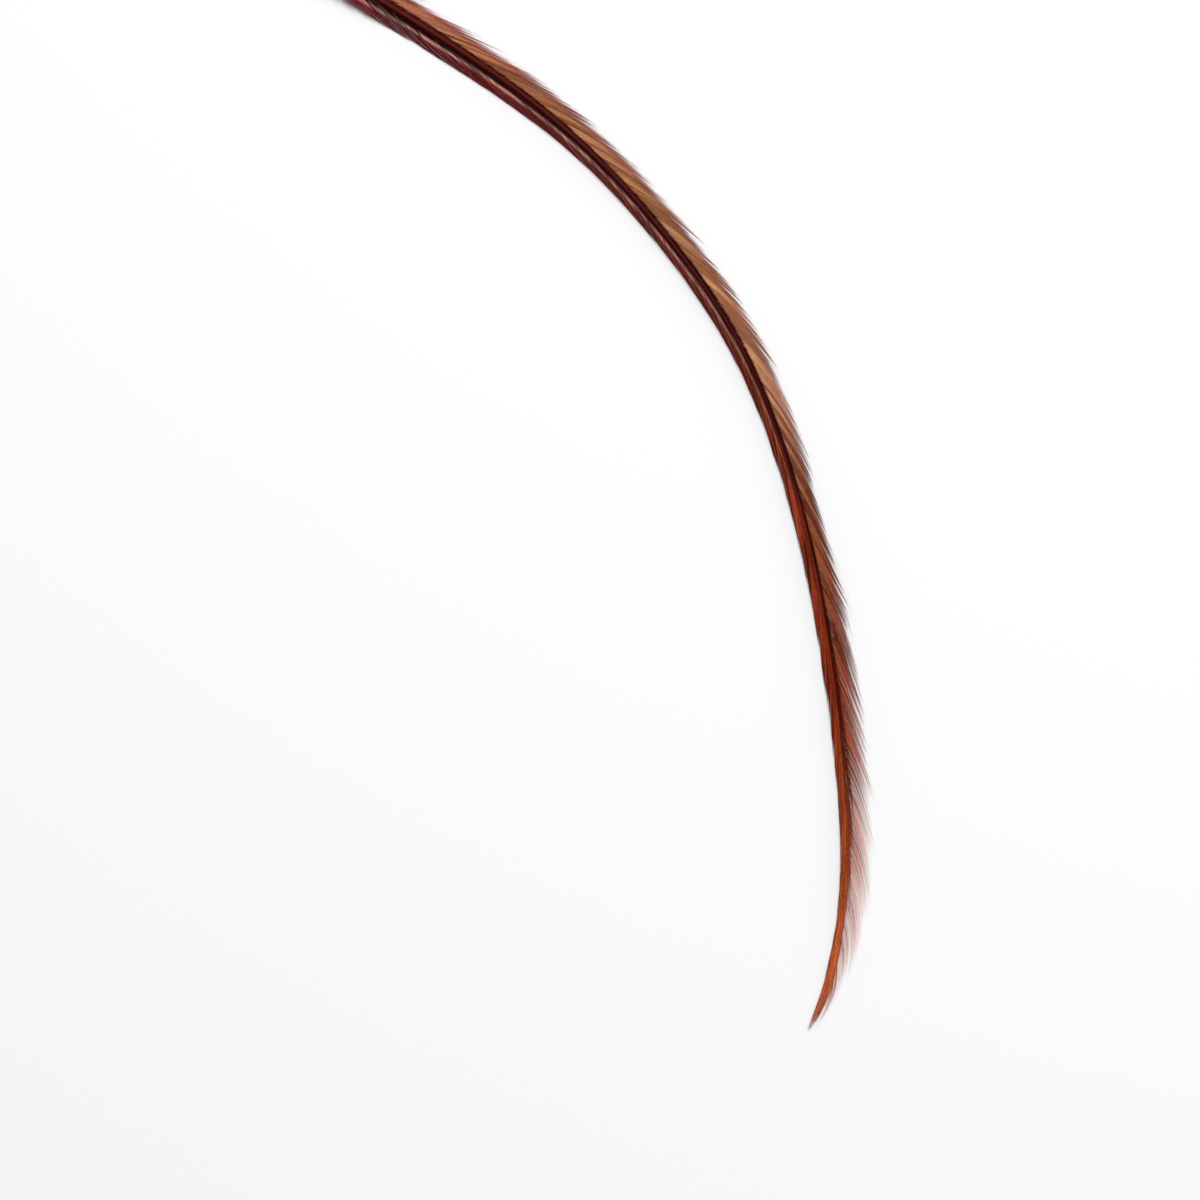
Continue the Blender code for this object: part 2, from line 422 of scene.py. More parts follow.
def own_value(tree, value_name):
    """A value that the piece carries at its points."""
    return node(tree, "ShaderNodeAttribute", attribute_name=value_name).outputs["Fac"]


print("node helpers are ready")

# %% Node group for the paint
PAINT_COLOURS = ("Root", "Seam", "Middle", "Second", "Tip")
PAINT_NUMBERS = ("Root End", "Seam Width", "Tip Start", "Contrast")
BARB_SHARE, TUFT_SHARE = 0.30, 0.70
SECOND_FROM, MIDDLE_FROM = 0.42, 0.58
SHADE_SHUFFLE = 7.31
UNEVEN_WIDTH = 0.10
ROOT_FADE = (0.80, 1.15)
TIP_SOFTNESS = 0.30
# Which barbs take the seam colour, in streaks; on the inner vane that colour is painted light.
SEAM_AND_GLOW_FADE = (0.18, 0.46)
FLECK_SCALE = 2200.0
FLECK_DETAIL = 2.0
BARB_ROUGHNESS = (0.32, 0.55)


def make_barb_paint():
    """The node group that blends the colours across a vane and varies them from barb to barb."""
    group = bpy.data.node_groups.new("barb_paint", "ShaderNodeTree")
    for name in PAINT_COLOURS:
        group.interface.new_socket(name=name, in_out="INPUT", socket_type="NodeSocketColor")
    for name in PAINT_NUMBERS:
        group.interface.new_socket(name=name, in_out="INPUT", socket_type="NodeSocketFloat")
    group.interface.new_socket(name="Color", in_out="OUTPUT", socket_type="NodeSocketColor")
    group.interface.new_socket(name="Roughness", in_out="OUTPUT", socket_type="NodeSocketFloat")
    given = node(group, "NodeGroupInput").outputs
    made = node(group, "NodeGroupOutput").inputs
    across, shade, tuft_shade = (own_value(group, name) for name in ("across_vane", "shade", "tuft_shade"))
    place = node(group, "ShaderNodeTexCoord")
    fleck = node(group, "ShaderNodeTexNoise")
    fleck.inputs["Scale"].default_value = FLECK_SCALE
    fleck.inputs["Detail"].default_value = FLECK_DETAIL
    group.links.new(place.outputs["Object"], fleck.inputs["Vector"])

    both_shades = maths(group, "MULTIPLY_ADD", shade, BARB_SHARE,
                        maths(group, "MULTIPLY", tuft_shade, TUFT_SHARE))
    own = blend_colours(group, ease(group, both_shades, MIDDLE_FROM, SECOND_FROM), given["Middle"],
                        given["Second"])
    other_shade = maths(group, "FRACT", maths(group, "MULTIPLY", shade, SHADE_SHUFFLE))
    uneven = maths(group, "ADD", across, maths(group, "MULTIPLY_ADD", other_shade, UNEVEN_WIDTH,
                                               -UNEVEN_WIDTH / 2))
    root_fade = (maths(group, "MULTIPLY", given["Root End"], share) for share in ROOT_FADE)
    colour = blend_colours(group, ease(group, uneven, *root_fade), given["Root"], own)
    tip_end = maths(group, "ADD", given["Tip Start"], TIP_SOFTNESS)
    colour = blend_colours(group, ease(group, uneven, given["Tip Start"], tip_end), colour, given["Tip"])
    # The seam colour lies in a narrow band past the roots, on some barbs only. On the inner vane it is
    # painted light: a pale pink for the table's light showing between and through the barbs.
    past_root = maths(group, "SUBTRACT", uneven, given["Root End"])
    from_seam = maths(group, "DIVIDE", past_root, given["Seam Width"])
    squared = maths(group, "MULTIPLY", from_seam, from_seam)
    seam_and_glow = maths(group, "EXPONENT", maths(group, "MULTIPLY", squared, -1.0))
    seam_and_glow = maths(group, "MULTIPLY", seam_and_glow, ease(group, other_shade, *SEAM_AND_GLOW_FADE))
    colour = blend_colours(group, seam_and_glow, colour, given["Seam"])

    centred = maths(group, "SUBTRACT", maths(group, "ADD", both_shades, fleck.outputs["Fac"]), 1.0)
    bright = maths(group, "MULTIPLY_ADD", centred, given["Contrast"], 1.0)
    scaled = node(group, "ShaderNodeVectorMath", operation="SCALE")
    group.links.new(colour, scaled.inputs[0])
    group.links.new(bright, scaled.inputs["Scale"])
    group.links.new(scaled.outputs[0], made["Color"])
    sheen = node(group, "ShaderNodeMapRange")
    sheen.inputs["To Min"].default_value, sheen.inputs["To Max"].default_value = BARB_ROUGHNESS
    group.links.new(fleck.outputs["Fac"], sheen.inputs["Value"])
    group.links.new(sheen.outputs["Result"], made["Roughness"])
    return group


barb_paint = make_barb_paint()
print("barb_paint has", len(barb_paint.nodes), "nodes")

# %% [markdown]
# ## Horn that lets light through
# A barb is thin horn, and light from the pale table glows through it, which gives the feather its warm rust
# and amber. So the barb's shader is mixed with a Translucent shader of the same colour. A material that is
# partly transparent goes without it, because the table already shows through.

# %% Barb materials
HORN_GLOSS = 0.03
GLOW_THROUGH = 0.30


def feather_ramp(tree, stations):
    """A ramp along the feather, from (distance in mm, sRGB colour) or (distance in mm, number) stations."""
    ramp = node(tree, "ShaderNodeValToRGB")
    elements = ramp.color_ramp.elements
    while len(elements) < len(stations):
        elements.new(1.0)
    for element, (distance, value) in zip(elements, stations):
        element.position = distance / (1000 * FEATHER_LENGTH)
        element.color = srgb(*value) if isinstance(value, tuple) else (value, value, value, 1.0)
    tree.links.new(own_value(tree, "along_feather"), ramp.inputs["Fac"])
    return ramp.outputs["Color"]


def glow_through(material, shader, colour):
    """Mixes a Translucent shader of the same colour into the material."""
    tree = material.node_tree
    through = node(tree, "ShaderNodeBsdfTranslucent")
    tree.links.new(colour, through.inputs["Color"])
    mix = node(tree, "ShaderNodeMixShader")
    mix.inputs["Fac"].default_value = GLOW_THROUGH
    tree.links.new(shader.outputs[0], mix.inputs[1])
    tree.links.new(through.outputs[0], mix.inputs[2])
    tree.links.new(mix.outputs[0], tree.nodes["Material Output"].inputs["Surface"])


def barb_material(name, paints, numbers, opacity=1.0):
    """A barb's material from its rows of colours and numbers along the feather."""
    material, shader = new_material(name)
    tree = material.node_tree
    paint = node(tree, "ShaderNodeGroup", node_tree=barb_paint)
    for socket in PAINT_COLOURS:
        tree.links.new(feather_ramp(tree, paints[socket]), paint.inputs[socket])
    for socket in PAINT_NUMBERS:
        value = numbers[socket]
        feed(tree, feather_ramp(tree, value) if isinstance(value, tuple) else value, paint.inputs[socket])
    tree.links.new(paint.outputs["Color"], shader.inputs["Base Color"])
    tree.links.new(paint.outputs["Roughness"], shader.inputs["Roughness"])
    shader.inputs["Specular IOR Level"].default_value = HORN_GLOSS
    shader.inputs["Alpha"].default_value = opacity
    if opacity == 1.0:
        glow_through(material, shader, paint.outputs["Color"])
    return material


print(round(100 * GLOW_THROUGH), "% of a barb's shading is light from behind")

# %% Colours of the outer vane
OUTER_PAINTS = {
    "Root": ((20, (112, 88, 74)), (50, (70, 10, 10)), (110, (60, 6, 5)), (163, (56, 8, 4)),
             (190, (60, 12, 6)), (208, (88, 24, 12)), (228, (164, 68, 34)), (258, (216, 116, 66))),
    "Seam": ((20, (112, 88, 74)), (50, (60, 10, 10)), (110, (54, 8, 8)), (163, (54, 10, 8)),
             (190, (60, 14, 8)), (208, (96, 28, 14)), (228, (122, 38, 16)), (258, (150, 56, 28))),
    "Middle": ((20, (146, 118, 98)), (50, (178, 112, 86)), (78, (188, 134, 94)), (115, (200, 152, 102)),
               (145, (222, 170, 126)), (157, (200, 150, 118)), (172, (156, 98, 62)), (200, (164, 78, 46)),
               (225, (196, 94, 54)), (258, (210, 116, 74))),
    "Second": ((20, (120, 92, 76)), (50, (134, 56, 44)), (80, (154, 88, 62)), (115, (174, 116, 76)),
               (145, (194, 134, 96)), (157, (160, 98, 72)), (172, (116, 58, 36)), (200, (112, 42, 24)),
               (225, (160, 70, 42)), (258, (184, 90, 56))),
    "Tip": ((20, (164, 138, 120)), (57, (184, 92, 78)), (95, (190, 116, 94)), (125, (190, 122, 92)),
            (155, (222, 174, 152)), (170, (136, 76, 50)), (200, (146, 62, 38)), (225, (198, 96, 62)),
            (258, (206, 112, 80))),
}
OUTER_NUMBERS = {
    "Root End": ((20, 0.30), (57, 0.28), (77, 0.20), (105, 0.15), (130, 0.18), (152, 0.15), (168, 0.12),
                 (198, 0.12), (215, 0.22), (240, 0.25), (258, 0.50)),
    "Seam Width": 0.03, "Tip Start": 0.52,
    "Contrast": ((20, 0.90), (85, 0.90), (110, 0.68), (148, 0.68), (175, 0.92), (258, 0.92)),
}
outer_barb = barb_material("outer_barb_horn", OUTER_PAINTS, OUTER_NUMBERS)
print("outer vane's paint is", outer_barb.name)

# %% Colours of the wisps
WISP_OPACITY = 0.22
WISP_PAINT = ((20, (164, 138, 120)), (57, (200, 108, 92)), (110, (200, 116, 88)), (163, (190, 100, 70)),
              (205, (192, 84, 48)), (225, (222, 116, 66)), (258, (234, 142, 98)))
WISP_NUMBERS = {"Root End": 0.1, "Seam Width": 0.03, "Tip Start": 0.5, "Contrast": 0.6}
wisp = barb_material("wisp_horn", {socket: WISP_PAINT for socket in PAINT_COLOURS}, WISP_NUMBERS,
                     WISP_OPACITY)
print("wisps let", round(100 * (1 - WISP_OPACITY)), "% of the light through each side")

# %% Colours of the inner vane
INNER_PAINTS = {
    "Root": ((20, (112, 88, 74)), (50, (62, 7, 8)), (110, (56, 5, 5)), (150, (70, 8, 6)),
             (174, (140, 46, 26)), (205, (166, 62, 34)), (237, (212, 108, 60)), (258, (222, 122, 72))),
    # The pale pink seam from 50 to 148 mm is painted light, for the table's light showing between and through
    # the barbs.
    "Seam": ((20, (112, 88, 74)), (50, (236, 186, 176)), (125, (240, 188, 174)), (148, (230, 168, 148)),
             (174, (190, 92, 56)), (216, (190, 84, 46)), (237, (214, 112, 62)), (258, (222, 122, 72))),
    "Middle": ((20, (146, 118, 98)), (50, (160, 50, 50)), (95, (148, 46, 44)), (120, (142, 46, 38)),
               (150, (150, 62, 46)), (175, (180, 72, 40)), (205, (176, 64, 34)), (237, (214, 110, 62)),
               (258, (224, 126, 76))),
    "Second": ((20, (120, 92, 76)), (50, (96, 20, 24)), (95, (92, 20, 22)), (120, (92, 20, 18)),
               (150, (112, 32, 24)), (175, (128, 36, 18)), (205, (138, 40, 20)), (237, (184, 82, 44)),
               (258, (198, 98, 56))),
    "Tip": ((20, (164, 138, 120)), (50, (112, 16, 28)), (110, (108, 18, 26)), (150, (104, 22, 22)),
            (185, (110, 26, 16)), (216, (128, 34, 16)), (237, (146, 48, 22)), (258, (166, 66, 34))),
}
INNER_NUMBERS = {
    "Root End": ((20, 0.30), (57, 0.50), (110, 0.48), (150, 0.36), (258, 0.50)),
    "Seam Width": ((20, 0.04), (57, 0.07), (95, 0.09), (140, 0.10), (168, 0.06), (258, 0.03)),
    "Tip Start": ((20, 0.70), (57, 0.46), (125, 0.50), (150, 0.72), (258, 0.72)), "Contrast": 0.95,
}
inner_barb = barb_material("inner_barb_horn", INNER_PAINTS, INNER_NUMBERS)
print("inner vane's paint is", inner_barb.name)

# %% [markdown]
# ## Barbs that cling in tufts
# The solid's vanes are slit into locks. Here each lock holds a few tufts, and each tuft some twenty barbs. A
# barb starts at its own place on the shaft, leans towards the middle of its tuft on the way out, and the tuft
# leans a little towards the middle of its lock. That makes the fine points and narrow gaps of a real vane.
# Some barbs stay close to the shaft and run along it, and make the smooth band beside it. A few barbs stray.
# Nothing here is placed by hand: each vane is a table of levels along the feather, and seeded chance does the
# rest, so that every run gives the same feather.

# %% Locks, the same as the solid's
SEED = 11
SHORTEST_LOCK, LONGEST_LOCK = 0.88, 1.08
LOCK_LEAN = 0.62
LOCK_TAPER = 1.1
ROOT_JITTER = 0.18


def lock_roots():
    """Places along the shaft where the locks start, a little uneven."""
    rng = random.Random(SEED)
    even = np.linspace(VANE_START, LAST_ROOT, LOCK_COUNT + 1)
    gap = even[1] - even[0]
    moved = [place + rng.uniform(-ROOT_JITTER, ROOT_JITTER) * gap for place in even[1:-1]]
    return np.array([even[0]] + moved + [even[-1]])


def lock_stretches():
    """How long each lock is against the usual length, for the outer vane and for the inner one."""
    rng = random.Random(SEED + 1)
    return {side: np.array([rng.uniform(SHORTEST_LOCK, LONGEST_LOCK) for _ in range(LOCK_COUNT)])
            for side in (OUTER, INNER)}


roots = lock_roots()
stretches = lock_stretches()
narrowest, widest = 1000 * np.diff(roots).min(), 1000 * np.diff(roots).max()
print(LOCK_COUNT, f"locks on each side, from {narrowest:.1f} to {widest:.1f} mm wide at the root")

# %% Choose where each barb grows


def read_levels(stations, distance):
    """Reads straight lines through (distance, value) stations, for what needs no smooth curve."""
    places, values = np.array(stations).T
    return np.interp(distance, places, values)


DOWN_END = 0.046
DOWN_RAGGED = 2.2
CUT_JITTER = 0.35
STRAY_PULL = (-0.8, 0.2)
TUFT_LENGTH = (0.86, 1.07)
NARROWEST = 0.15
TUFT_LAYER, BARB_LAYER, NARROW_LAYER = 0.35, 0.45, 0.5


def choose_barbs(vane, rng):
    """One entry for each barb: its lock, its share across the lock, its tuft and how it differs."""
    chosen = {name: [] for name in ("lock", "share", "tuft_share", "pull", "length", "spread", "shade",
                                    "tuft_shade", "layer")}
    for lock in range(LOCK_COUNT):
        root = roots[lock]
        count = int(read_levels(vane["barbs per mm"], root) * 1000 * (roots[lock + 1] - root))
        share = (np.arange(count) + rng.uniform(0.0, 1.0, count)) / count
        tufts = rng.integers(*vane["tufts in a lock"])
        cuts = (np.arange(1, tufts) + rng.uniform(-CUT_JITTER, CUT_JITTER, tufts - 1)) / tufts
        edges = np.concatenate([[0.0], cuts, [1.0]])
        tuft = np.searchsorted(cuts, share)
        stray = rng.uniform(0.0, 1.0, count) < vane["strays"]
        narrow = rng.uniform(0.0, 1.0, count) < read_levels(vane["narrow barbs"], root)
        narrow_reach = read_levels(vane["narrow reach"], root)
        ragged = vane["ragged"] * (DOWN_RAGGED if root < DOWN_END else 1.0)
        chosen["lock"].append(np.full(count, lock))
        chosen["share"].append(share)
        chosen["tuft_share"].append(((edges[:-1] + edges[1:]) / 2)[tuft])
        chosen["pull"].append(np.where(stray, rng.uniform(*STRAY_PULL, count),
                                       rng.uniform(*vane["tuft pull"], tufts)[tuft]))
        chosen["length"].append(stretches[vane["side"]][lock] * rng.uniform(*TUFT_LENGTH, tufts)[tuft]
                                * rng.normal(1.0, ragged, count))
        chosen["spread"].append(np.where(narrow, rng.uniform(NARROWEST, 1.0, count) * narrow_reach, 1.0))
        chosen["shade"].append(rng.uniform(0.0, 1.0, count))
        chosen["tuft_shade"].append(rng.uniform(0.0, 1.0, tufts)[tuft])
        layer = (TUFT_LAYER * rng.uniform(0.0, 1.0, tufts)[tuft]
                 + BARB_LAYER * rng.uniform(0.0, 1.0, count))
        chosen["layer"].append(np.where(narrow, NARROW_LAYER + layer, layer))
    return {name: np.concatenate(parts)[:, None] for name, parts in chosen.items()}


print("the first lock starts", round(1000 * roots[0], 1), "mm from the quill end")

# %% Bend each barb along its path
SPREAD_POWER = 0.72
CURL_POWER = 2.2
PAST_USUAL_LENGTH = 0.3
LEAN_FROM = 0.2
GATHER_RUN, GATHER_POWER = 0.45, 1.5
BARB_TIP_SHARE = 0.14
TAPER_POWER = 1.6
THIN_FROM, THIN_RUN = 0.15, 0.6
SHEET_FLOOR = 0.00005
SHEET_DEPTH = 0.00030
LAYER_RISE, LOWEST_LAYER = 6, 0.3
BRUSH_RUN = ((0.240, 1.0), (0.2525, 1.13))
DOWN_WAVE = 0.0005
DOWN_LIFT = 1.2
LOOSE_UNTIL, LOOSE_FADE = 0.050, 0.015
FEWEST_WAVES = 0.8


def grow_barbs(vane, seed):
    """Spines, radii and values for paint of one vane's barbs."""
    chosen = choose_barbs(vane, np.random.default_rng(seed))
    lock = chosen["lock"]
    along = np.linspace(0.0, 1.0, BARB_LEVELS)[None]
    reached = along * chosen["length"]
    past = np.clip((reached - LEAN_FROM) / (1.0 - LEAN_FROM), 0.0, 1.0)
    gather = np.clip((reached - vane["gathered from"]) / GATHER_RUN, 0.0, 1.0) ** GATHER_POWER
    gathered = 1.0 - chosen["pull"] * read_levels(vane["gathering"], roots[lock]) * gather
    in_tuft = chosen["tuft_share"] + (chosen["share"] - chosen["tuft_share"]) * gathered
    in_lock = LOCK_LEAN + (in_tuft - LOCK_LEAN) * (1.0 - vane["lock pull"] * past ** LOCK_TAPER)
    start = roots[lock] + (roots[lock + 1] - roots[lock]) * in_lock
    distance = start + read_stations(LOCK_RUN, start) * reached * read_levels(BRUSH_RUN, start)
    even = reached ** SPREAD_POWER
    curled = (1.0 - np.clip(1.0 - reached, 0.0, 1.0) ** CURL_POWER
              + PAST_USUAL_LENGTH * np.clip(reached - 1.0, 0.0, 1.0))
    spread = chosen["spread"] * (even + read_levels(vane["curl"], distance) * (curled - even))
    reach = read_stations(vane["reach"], distance) * read_levels(vane["reach gain"], distance)
    ridge = read_stations(SHAFT_HEIGHT, distance) - SHEET_THICKNESS / 2
    drooped = ridge * np.clip(1.0 - (spread / vane["touch"]) ** DROOP_POWER, 0.0, 1.0)
    layered = SHEET_DEPTH * chosen["layer"] * np.clip(LAYER_RISE * along, LOWEST_LAYER, 1.0)
    height = drooped + SHEET_FLOOR + layered
    outside = np.clip((spread - THIN_FROM) / THIN_RUN, 0.0, 1.0)
    thinned = 1.0 - (1.0 - read_levels(vane["outside radius"], distance)) * outside
    tapered = 1.0 - (1.0 - BARB_TIP_SHARE) * along ** TAPER_POWER
    loose = DOWN_WAVE * along * np.clip((LOOSE_UNTIL - start) / LOOSE_FADE, 0.0, 1.0)
    wave = loose * np.sin(2 * math.pi * (chosen["shade"] + (FEWEST_WAVES + chosen["tuft_shade"]) * along))
    height = height + np.clip(wave, 0.0, None) + DOWN_LIFT * loose
    return {"spine": at(distance, vane["side"] * (reach * spread + wave), height),
            "radius": read_levels(vane["radius"], distance) * thinned * tapered,
            "across_vane": spread, "along_feather": distance / FEATHER_LENGTH,
            "shade": chosen["shade"], "tuft_shade": chosen["tuft_shade"]}


print("a barb runs", round(1000 * float(read_stations(LOCK_RUN, 0.1)), 1), "mm along the shaft at mid-length")

# %% [markdown]
# ## The outer vane
# The outer vane is the wide one, tan to rust. Its barbs leave the shaft at about 17 degrees and end in a
# ragged edge of fine points. Towards the tip of the feather most of them stay close to the shaft, and the
# wide ones are thin and stand apart, so that the vane turns into pale wisps there.

# %% Grow the outer vane
outer_barbs = grow_barbs({
    "side": OUTER, "reach": OUTER_REACH, "touch": OUTER_TOUCH,
    "barbs per mm": ((0.013, 4.0), (0.040, 7.0), (0.060, 11.0), (0.205, 11.0), (0.225, 12.0), (0.238, 18.0),
                     (0.263, 30.0)),
    "narrow barbs": ((0.013, 0.0), (0.050, 0.14), (0.180, 0.14), (0.205, 0.36), (0.220, 0.74), (0.240, 0.90),
                     (0.263, 0.94)),
    "narrow reach": ((0.013, 0.2), (0.057, 0.20), (0.163, 0.20), (0.205, 0.40), (0.218, 0.28), (0.236, 0.20),
                     (0.243, 0.40), (0.252, 0.68)),
    "tufts in a lock": (2, 5), "tuft pull": (0.40, 0.90),
    "gathering": ((0.013, 1.0), (0.263, 1.0)), "gathered from": 0.50,
    "reach gain": ((0.013, 1.0), (0.195, 1.0), (0.212, 1.25), (0.235, 1.45), (0.250, 1.55),
                   (0.256, 1.75), (0.261, 1.4), (0.266, 0.8)),
    "lock pull": 0.12, "ragged": 0.08, "strays": 0.12,
    "curl": ((0.0, 0.0), (0.263, 0.0)),
    "radius": ((0.013, 0.000030), (0.045, 0.000048), (0.263, 0.000045)),
    "outside radius": ((0.013, 0.9), (0.150, 0.9), (0.180, 0.55), (0.222, 0.30), (0.263, 0.30)),
}, seed=21)
outer_vane = join_threads("outer_vane", barb_thread, outer_barbs, outer_barb)

# %% [markdown]
# ## The inner vane
# The inner vane is narrow. Over the first half of the feather it has a dark band beside the shaft and a pale
# seam along that, painted light for the table's light showing between and through the barbs, and past the
# seam its tufts turn along the edge, like a braid. Further on, the barbs lie almost along the shaft and make
# one smooth silky band.

# %% Grow the inner vane
inner_barbs = grow_barbs({
    "side": INNER, "reach": INNER_REACH, "touch": INNER_TOUCH,
    "barbs per mm": ((0.013, 4.0), (0.036, 6.0), (0.050, 14.0), (0.130, 13.0), (0.165, 11.0), (0.235, 12.0),
                     (0.250, 20.0), (0.263, 22.0)),
    "narrow barbs": ((0.013, 0.0), (0.050, 0.45), (0.130, 0.45), (0.170, 0.2), (0.225, 0.3), (0.263, 0.5)),
    "narrow reach": ((0.013, 0.2), (0.057, 0.40), (0.110, 0.42), (0.163, 0.45), (0.263, 0.80)),
    "tufts in a lock": (2, 4), "tuft pull": (0.50, 0.85),
    "gathering": ((0.013, 0.6), (0.057, 0.22), (0.125, 0.20), (0.150, 0.1), (0.263, 0.0)),
    "gathered from": 0.12,
    "reach gain": ((0.013, 1.0), (0.215, 1.0), (0.232, 0.85), (0.245, 0.90), (0.256, 1.3),
                   (0.261, 1.2), (0.266, 0.8)),
    "lock pull": 0.10, "ragged": 0.05, "strays": 0.10,
    "curl": ((0.045, 0.0), (0.062, 1.0), (0.140, 1.0), (0.180, 0.1), (0.263, 0.0)),
    "radius": ((0.013, 0.000030), (0.045, 0.000048), (0.263, 0.000045)),
    "outside radius": ((0.013, 0.9), (0.263, 0.9)),
}, seed=22)
inner_vane = join_threads("inner_vane", barb_thread, inner_barbs, inner_barb)

# %% [markdown]
# ## Loose ends
# A real vane has no clean edge. Thin single barbs run out past both edges and cross each other. They are so
# thin that the table shows through them, so they are made mostly transparent, and they soften the outline.

# %% Grow the fringe


def grow_fringe(name, vane, seed):
    """Grows one side's fringe of thin wisps, from its vane's own side, reach and curl."""
    return join_threads(name, barb_thread, grow_barbs(dict(vane, **{
        "narrow barbs": ((0.0, 0.0), (0.263, 0.0)), "tufts in a lock": (4, 9), "tuft pull": (-0.4, 0.7),
        "gathering": ((0.0, 1.0), (0.263, 1.0)), "lock pull": 0.0, "ragged": 0.10, "strays": 0.4,
        "outside radius": ((0.0, 0.8), (0.263, 0.8))}), seed=seed), wisp)


outer_fringe = grow_fringe("outer_fringe", {
    "side": OUTER, "reach": OUTER_REACH, "touch": OUTER_TOUCH, "gathered from": 0.2,
    "reach gain": ((0.0, 1.08), (0.195, 1.08), (0.212, 1.25), (0.235, 1.45), (0.263, 1.7)),
    "barbs per mm": ((0.0, 2.0), (0.050, 3.5), (0.195, 3.5), (0.215, 5.0), (0.263, 6.5)),
    "narrow reach": ((0.0, 1.0), (0.263, 1.0)), "curl": ((0.0, 0.0), (0.263, 0.0)),
    "radius": ((0.013, 0.000014), (0.050, 0.000022), (0.263, 0.000024))}, 31)
inner_fringe = grow_fringe("inner_fringe", {
    "side": INNER, "reach": INNER_REACH, "touch": INNER_TOUCH, "gathered from": 0.2,
    "reach gain": ((0.0, 1.10), (0.263, 1.10)),
    "barbs per mm": ((0.0, 1.5), (0.130, 2.0), (0.150, 1.0), (0.263, 1.0)),
    "narrow reach": ((0.0, 1.0), (0.263, 1.0)),
    "curl": ((0.045, 0.0), (0.062, 0.6), (0.140, 0.6), (0.180, 0.0)),
    "radius": ((0.013, 0.000012), (0.050, 0.000018), (0.263, 0.000018))}, 32)

# %% [markdown]
# ## Down
# Beside the quill the barbs don't cling together. They are loose and wavy, and each one carries fine long
# barbules on both sides, which trap air and look like smoke. The barbules grow from the barbs that are
# already there, over the first part of each vane, and get shorter towards the end of their barb.

# %% Grow the barbules of the down
BARBULES_ON_A_BARB = 27
BARBULE_LENGTH = 0.0017
BARBULE_RADIUS = 0.000009
BARBULE_ANGLE = math.radians(48)
BARBULE_BEND = 0.25
BARBULE_TAPER = 0.6
FIRST_BARBULE, LAST_BARBULE = 0.03, 0.995
PLACE_JITTER, SHADE_JITTER = 0.02, 0.2
USUAL_LIFT, LIFT_VARIATION = 0.12, 0.35
ANGLE_RANGE, LENGTH_RANGE = (0.7, 1.3), (0.6, 1.15)
SHORTER_AT_END, SHORTER_POWER = 0.55, 3
DOWN_LOWEST, DOWN_HIGHEST = 0.00003, 0.0029


def grow_down(barbs, seed):
    """Spines, radii and values for paint of the barbules on one vane's loose barbs."""
    rng = np.random.default_rng(seed)
    loose = barbs["along_feather"][:, 0] * FEATHER_LENGTH < DOWN_END
    rami = barbs["spine"][loose]
    count = len(rami) * BARBULES_ON_A_BARB
    ramus = np.repeat(np.arange(len(rami)), BARBULES_ON_A_BARB)
    along = np.tile((np.arange(BARBULES_ON_A_BARB) + 0.5) / BARBULES_ON_A_BARB, len(rami))
    along = np.clip(along + rng.uniform(-PLACE_JITTER, PLACE_JITTER, count), FIRST_BARBULE, LAST_BARBULE)
    step = along * (rami.shape[1] - 1)
    before = np.minimum(step.astype(int), rami.shape[1] - 2)
    ahead = rami[ramus, before + 1] - rami[ramus, before]
    foot = rami[ramus, before] + (step - before)[:, None] * ahead
    ahead = ahead / np.linalg.norm(ahead, axis=1, keepdims=True)
    side = np.cross(UP, ahead) * np.where(np.arange(count) % 2, 1.0, -1.0)[:, None]
    lift = rng.normal(USUAL_LIFT, LIFT_VARIATION, count)[:, None] * UP
    angle = (BARBULE_ANGLE * rng.uniform(*ANGLE_RANGE, count))[:, None]
    length = BARBULE_LENGTH * rng.uniform(*LENGTH_RANGE, count)
    length = length * (1.0 - SHORTER_AT_END * along ** SHORTER_POWER)
    t = np.linspace(0.0, 1.0, BARBULE_LEVELS)[None, :, None]
    out = (np.cos(angle) * ahead + np.sin(angle) * (side + lift))[:, None, :] * t
    bend = BARBULE_BEND * ahead[:, None, :] * t ** 2
    spine = foot[:, None, :] + length[:, None, None] * (out + bend)
    spine[..., 2] = np.clip(spine[..., 2], DOWN_LOWEST, DOWN_HIGHEST)
    radius = BARBULE_RADIUS * (1.0 - BARBULE_TAPER * t[..., 0]) * np.ones((count, 1))
    shade = barbs["shade"][loose][ramus]
    return {"spine": spine, "radius": radius, "across_vane": np.full((count, 1), 0.5),
            "along_feather": barbs["along_feather"][loose][ramus, :1],
            "shade": np.clip(shade + rng.uniform(-SHADE_JITTER, SHADE_JITTER, (count, 1)), 0.0, 1.0),
            "tuft_shade": barbs["tuft_shade"][loose][ramus]}


both_sides = [grow_down(barbs, seed) for barbs, seed in ((outer_barbs, 41), (inner_barbs, 42))]
all_barbules = {name: np.concatenate([grown[name] for grown in both_sides]) for name in both_sides[0]}
down = join_threads("down", barbule_thread, all_barbules, outer_barb)

# %% [markdown]
# ## The shaft
# The shaft, or rachis, is the feather's stiff midrib of horn. The bare quill at its root is pale, and where
# the vanes start it turns dark maroon. Its sides are painted darker and its crown lighter, as painted shade
# and a painted highlight along the round tube. It is a tube that tapers, so it starts as a flat grid that is
# rolled up round the path, closed along its seam, and finished at the quill end with the small pit that every
# shed feather has. Its rings stand closer together at the quill end, where the shape changes most, and from
# 30 mm on a shallow groove runs along the crown.

# %% Roll the shaft
SHAFT_RINGS = 260
SHAFT_SIDES = 14
CLOSE_RINGS, WIDE_RINGS = 0.35, 0.65
CROWN_GROOVE = 0.10
CROWN_WIDTH = 0.35
GROOVE_FROM, GROOVE_FADE = 0.03, 0.02
WELD = 1e-7
PIT = ((0.0007, 0.00010), (0.00035, 0.00016), (0.00001, 0.00021))


